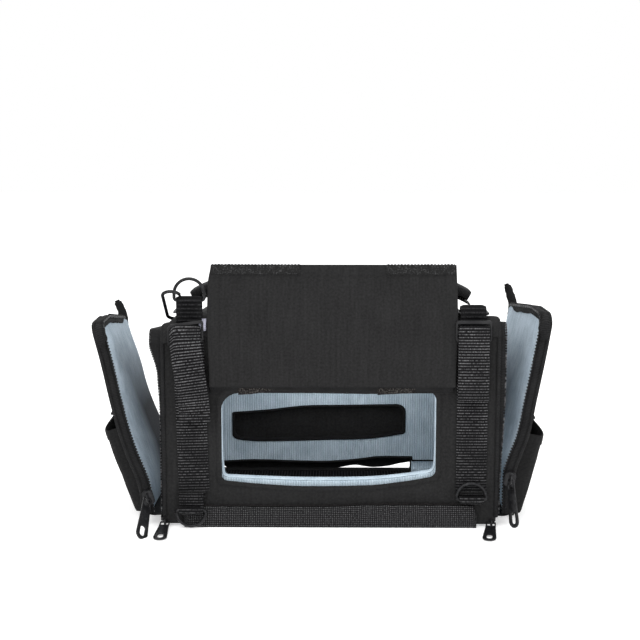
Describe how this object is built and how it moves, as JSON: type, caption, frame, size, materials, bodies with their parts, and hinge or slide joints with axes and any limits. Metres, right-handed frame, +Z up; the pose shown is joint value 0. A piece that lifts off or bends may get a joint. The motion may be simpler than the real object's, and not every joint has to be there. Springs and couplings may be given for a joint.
{
  "type": "camera bag",
  "caption": "Soft production camera bag with a front window under a folded-up cover, drop-down zipped end doors with pouches, webbing straps, rings and a carrying handle.",
  "frame": {"origin": "middle of the underside of the base", "axes": "+X to the right seen from the front, +Y to the back, +Z up"},
  "size_m": [0.3711, 0.2247, 0.2136],
  "materials": {
    "black_cordura": "matt woven nylon, coarse plain weave",
    "cover_cloth": "matt charcoal woven nylon",
    "blue_felt": "brushed pale blue felt with fine ribs",
    "zip_tape": "black zip tape and coil chain",
    "black_webbing": "ribbed nylon webbing with a slight sheen",
    "woven_boot": "glossy coated basket weave",
    "black_metal": "black enamelled zinc and steel wire",
    "black_plastic": "moulded nylon",
    "stiff_board": "polyethylene board",
    "loop_pile": "fuzzy loop pile"
  },
  "bodies": {
    "case": {"front_panel": "black_cordura", "rear_panel": "black_cordura", "top_panel": "black_cordura", "front_liner": "blue_felt", "rear_liner": "blue_felt", "top_liner": "blue_felt", "base_boot": "woven_boot", "base_board": "stiff_board", "floor_liner": "blue_felt", "floor_mat": "zip_tape", "left_end_frame": "zip_tape", "left_front_strap": "black_webbing", "left_rear_strap": "black_webbing", "left_ring_tab": "black_webbing", "left_lower_loop": "black_webbing", "left_handle_anchor": "black_webbing", "left_three_bar_slide": "black_plastic", "left_window_tab": "loop_pile", "right_end_frame": "zip_tape", "right_front_strap": "black_webbing", "right_rear_strap": "black_webbing", "right_ring_tab": "black_webbing", "right_lower_loop": "black_webbing", "right_handle_anchor": "black_webbing", "right_three_bar_slide": "black_plastic", "right_window_tab": "loop_pile"},
    "front_cover_flap": {"front_cover": "cover_cloth", "left_cover_hook_strip": "loop_pile", "right_cover_hook_strip": "loop_pile"},
    "rear_cover_flap": {"rear_cover": "black_cordura"},
    "handle": {"handle_webbing": "black_webbing", "handle_grip": "black_webbing"},
    "hook": {"snap_hook": "black_metal"},
    "hook_gate": {"snap_hook_gate": "black_metal"},
    "left_door": {"left_door_tape": "zip_tape", "left_door_liner": "blue_felt", "left_door_shell": "black_cordura", "left_door_pouch": "black_cordura", "left_door_pouch_strap": "black_webbing"},
    "left_front_slider_body": {"left_front_slider": "black_metal"},
    "left_front_pull_body": {"left_front_pull": "black_metal"},
    "left_rear_slider_body": {"left_rear_slider": "black_metal"},
    "left_rear_pull_body": {"left_rear_pull": "black_metal"},
    "left_corner_slider_body": {"left_corner_slider": "black_metal"},
    "left_corner_pull_body": {"left_corner_pull": "black_metal"},
    "left_upper_ring_body": {"left_upper_ring": "black_metal"},
    "left_lower_ring_body": {"left_lower_ring": "black_metal"},
    "right_door": {"right_door_tape": "zip_tape", "right_door_liner": "blue_felt", "right_door_shell": "black_cordura", "right_door_pouch": "black_cordura", "right_door_pouch_strap": "black_webbing"},
    "right_front_slider_body": {"right_front_slider": "black_metal"},
    "right_front_pull_body": {"right_front_pull": "black_metal"},
    "right_rear_slider_body": {"right_rear_slider": "black_metal"},
    "right_rear_pull_body": {"right_rear_pull": "black_metal"},
    "right_corner_slider_body": {"right_corner_slider": "black_metal"},
    "right_corner_pull_body": {"right_corner_pull": "black_metal"},
    "right_upper_ring_body": {"right_upper_ring": "black_metal"},
    "right_lower_ring_body": {"right_lower_ring": "black_metal"}
  },
  "joints": [
    {"name": "front_cover_hinge", "type": "hinge", "parent": "case", "child": "front_cover_flap", "pos_m": [0, -0.0805, 0.116], "axis": [1, 0, 0], "range_deg": [0, 174]},
    {"name": "rear_cover_hinge", "type": "hinge", "parent": "case", "child": "rear_cover_flap", "pos_m": [0, 0.078, 0.079], "axis": [1, 0, 0], "range_deg": [0, 165]},
    {"name": "handle_hinge", "type": "hinge", "parent": "case", "child": "handle", "pos_m": [0, -0.038, 0.177], "axis": [-1, 0, 0], "range_deg": [0, 25]},
    {"name": "left_door_hinge", "type": "hinge", "parent": "case", "child": "left_door", "pos_m": [-0.14285, 0, 0.0097], "axis": [0, -1, 0], "range_deg": [-15.5, 6]},
    {"name": "left_front_zip_travel", "type": "slide", "parent": "left_door", "child": "left_front_slider_body", "axis": [-0.2672, 0, 0.9636], "range_m": [0, 0.118]},
    {"name": "left_front_pull_hinge", "type": "hinge", "parent": "left_front_slider_body", "child": "left_front_pull_body", "pos_m": [-0.14694, -0.0806, 0.02444], "axis": [0.9976, 0, -0.0698], "range_deg": [-110, 38]},
    {"name": "left_rear_zip_travel", "type": "slide", "parent": "left_door", "child": "left_rear_slider_body", "axis": [-0.2672, 0, 0.9636], "range_m": [0, 0.118]},
    {"name": "left_rear_pull_hinge", "type": "hinge", "parent": "left_rear_slider_body", "child": "left_rear_pull_body", "pos_m": [-0.14694, 0.0806, 0.02444], "axis": [0.9976, 0, -0.0698], "range_deg": [-38, 110]},
    {"name": "left_corner_zip_travel", "type": "slide", "parent": "case", "child": "left_corner_slider_body", "axis": [0, 1, 0], "range_m": [0, 0.118]},
    {"name": "left_corner_pull_hinge", "type": "hinge", "parent": "left_corner_slider_body", "child": "left_corner_pull_body", "pos_m": [-0.1336, -0.0765, 0.0039], "axis": [1, 0, 0], "range_deg": [-70, 0]},
    {"name": "right_door_hinge", "type": "hinge", "parent": "case", "child": "right_door", "pos_m": [0.13925, 0, 0.0097], "axis": [0, 1, 0], "range_deg": [-9.7, 4]},
    {"name": "right_front_zip_travel", "type": "slide", "parent": "right_door", "child": "right_front_slider_body", "axis": [0.1685, 0, 0.9857], "range_m": [-0.016, 0.102]},
    {"name": "right_front_pull_hinge", "type": "hinge", "parent": "right_front_slider_body", "child": "right_front_pull_body", "pos_m": [0.14452, -0.0806, 0.04055], "axis": [0.9976, 0, 0.0698], "range_deg": [-110, 10]},
    {"name": "right_rear_zip_travel", "type": "slide", "parent": "right_door", "child": "right_rear_slider_body", "axis": [0.1685, 0, 0.9857], "range_m": [-0.016, 0.102]},
    {"name": "right_rear_pull_hinge", "type": "hinge", "parent": "right_rear_slider_body", "child": "right_rear_pull_body", "pos_m": [0.14452, 0.0806, 0.04055], "axis": [0.9976, 0, 0.0698], "range_deg": [-10, 110]},
    {"name": "right_corner_zip_travel", "type": "slide", "parent": "case", "child": "right_corner_slider_body", "axis": [0, 1, 0], "range_m": [0, 0.118]},
    {"name": "right_corner_pull_hinge", "type": "hinge", "parent": "right_corner_slider_body", "child": "right_corner_pull_body", "pos_m": [0.13, -0.0765, 0.0039], "axis": [0.9877, -0.1564, 0], "range_deg": [-55, 0]},
    {"name": "left_upper_ring_hinge", "type": "hinge", "parent": "case", "child": "left_upper_ring_body", "pos_m": [-0.112, -0.0735, 0.1845], "axis": [1, 0, 0], "range_deg": [0, 80]},
    {"name": "right_upper_ring_hinge", "type": "hinge", "parent": "case", "child": "right_upper_ring_body", "pos_m": [0.1133, -0.07, 0.1735], "axis": [1, 0, 0], "range_deg": [0, 160]},
    {"name": "left_lower_ring_hinge", "type": "hinge", "parent": "case", "child": "left_lower_ring_body", "pos_m": [-0.112, -0.081, 0.015], "axis": [1, 0, 0], "range_deg": [-165, 0]},
    {"name": "right_lower_ring_hinge", "type": "hinge", "parent": "case", "child": "right_lower_ring_body", "pos_m": [0.1133, -0.081, 0.0245], "axis": [1, 0, 0], "range_deg": [0, 175]},
    {"name": "snap_hook_swing", "type": "hinge", "parent": "left_upper_ring_body", "child": "hook", "pos_m": [-0.124, -0.0735, 0.1927], "axis": [1, 0, 0], "range_deg": [0, 60]},
    {"name": "snap_hook_gate_hinge", "type": "hinge", "parent": "hook", "child": "hook_gate", "pos_m": [-0.1212, -0.05201, 0.18121], "axis": [0, -0.4695, -0.8829], "range_deg": [0, 3.5], "stiffness_Nm_per_rad": 0.01, "springref_deg": -11.46}
  ]
}
